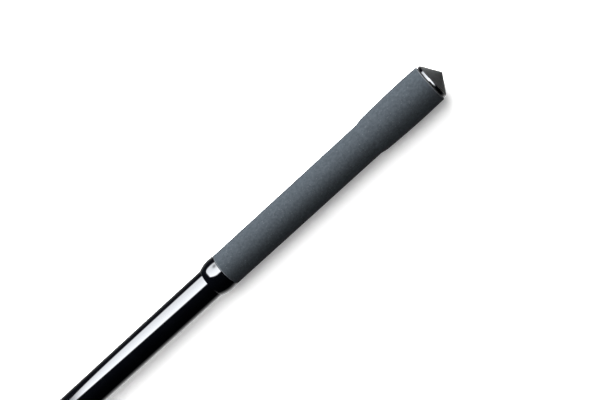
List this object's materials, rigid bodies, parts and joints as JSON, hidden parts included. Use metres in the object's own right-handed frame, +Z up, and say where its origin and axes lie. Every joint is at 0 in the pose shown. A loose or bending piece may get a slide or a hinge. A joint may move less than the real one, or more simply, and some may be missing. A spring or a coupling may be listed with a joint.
{
  "type": "boom pole",
  "caption": "Telescopic microphone boom pole with foam grip, inside twist locks, screw cap with cone bumper and threaded tip.",
  "frame": {"origin": "on the surface that the pole lies on, under the middle of its collapsed length", "axes": "+X along the pole from its butt to its microphone end, +Z up"},
  "size_m": [0.8208, 0.0332, 0.0331],
  "materials": {
    "black_gloss": "gloss",
    "grip_foam": "matte",
    "black_rubber": "matte",
    "dark_plastic": "satin",
    "white_nylon": "satin",
    "wiper_felt": "matte",
    "zinc_steel": "satin",
    "wedge_brass": "satin"
  },
  "bodies": {
    "handle": {"outer_tube": "black_gloss", "foam_grip": "grip_foam", "butt_sleeve": "dark_plastic", "grip_collar": "black_gloss", "cap_socket": "dark_plastic", "outer_ferrule": "black_gloss", "outer_guide_bush": "white_nylon", "outer_wiper": "wiper_felt"},
    "cap_seal": {"cap_gasket": "black_rubber"},
    "cap": {"cap_flange": "black_gloss", "cap_cone": "black_rubber"},
    "middle_lock": {"middle_lock_expander": "white_nylon"},
    "middle_wedge": {"middle_lock_wedge": "wedge_brass"},
    "middle_section": {"middle_tube": "black_gloss", "middle_ferrule": "black_gloss", "middle_guide_bush": "white_nylon", "middle_wiper": "wiper_felt", "middle_lock_plug": "dark_plastic", "middle_lock_stud": "zinc_steel", "middle_lock_retainer": "zinc_steel"},
    "inner_lock": {"inner_lock_expander": "white_nylon"},
    "inner_wedge": {"inner_lock_wedge": "wedge_brass"},
    "inner_section": {"inner_tube": "black_gloss", "tip_head": "black_gloss", "tip_stud": "zinc_steel", "inner_lock_plug": "dark_plastic", "inner_lock_stud": "zinc_steel", "inner_lock_retainer": "zinc_steel"},
    "adapter_seal": {"adapter_washer": "black_rubber"},
    "adapter": {"thread_adapter": "zinc_steel"}
  },
  "joints": [
    {"name": "middle_slide", "type": "slide", "parent": "handle", "child": "middle_lock", "axis": [1, 0, 0], "range_m": [0, 0.646]},
    {"name": "middle_twist", "type": "hinge", "parent": "middle_lock", "child": "middle_section", "pos_m": [0, 0, 0.01658], "axis": [1, 0, 0], "range_deg": [0, 180]},
    {"name": "middle_wedge_travel", "type": "slide", "parent": "middle_lock", "child": "middle_wedge", "axis": [-1, 0, 0], "range_m": [0, 0.000625]},
    {"name": "inner_slide", "type": "slide", "parent": "middle_section", "child": "inner_lock", "axis": [1, 0, 0], "range_m": [0, 0.605]},
    {"name": "inner_twist", "type": "hinge", "parent": "inner_lock", "child": "inner_section", "pos_m": [0, 0, 0.01658], "axis": [1, 0, 0], "range_deg": [0, 180]},
    {"name": "inner_wedge_travel", "type": "slide", "parent": "inner_lock", "child": "inner_wedge", "axis": [-1, 0, 0], "range_m": [0, 0.0005]},
    {"name": "cap_travel", "type": "slide", "parent": "handle", "child": "cap_seal", "axis": [-1, 0, 0], "range_m": [0, 0.0091]},
    {"name": "cap_turn", "type": "hinge", "parent": "cap_seal", "child": "cap", "pos_m": [-0.39823, 0, 0.01658], "axis": [-1, 0, 0], "range_deg": [0, 2160]},
    {"name": "adapter_travel", "type": "slide", "parent": "inner_section", "child": "adapter_seal", "axis": [1, 0, 0], "range_m": [0, 0.0096]},
    {"name": "adapter_turn", "type": "hinge", "parent": "adapter_seal", "child": "adapter", "pos_m": [0.39797, 0, 0.01658], "axis": [1, 0, 0], "range_deg": [0, 2160]}
  ],
  "couplings": [
    {"joint": "middle_twist", "follows": "middle_wedge_travel", "rad_per_m": 5026.5},
    {"joint": "inner_twist", "follows": "inner_wedge_travel", "rad_per_m": 6283.2},
    {"joint": "cap_travel", "follows": "cap_turn", "m_per_rad": 0.00023873},
    {"joint": "adapter_travel", "follows": "adapter_turn", "m_per_rad": 0.00025266}
  ]
}
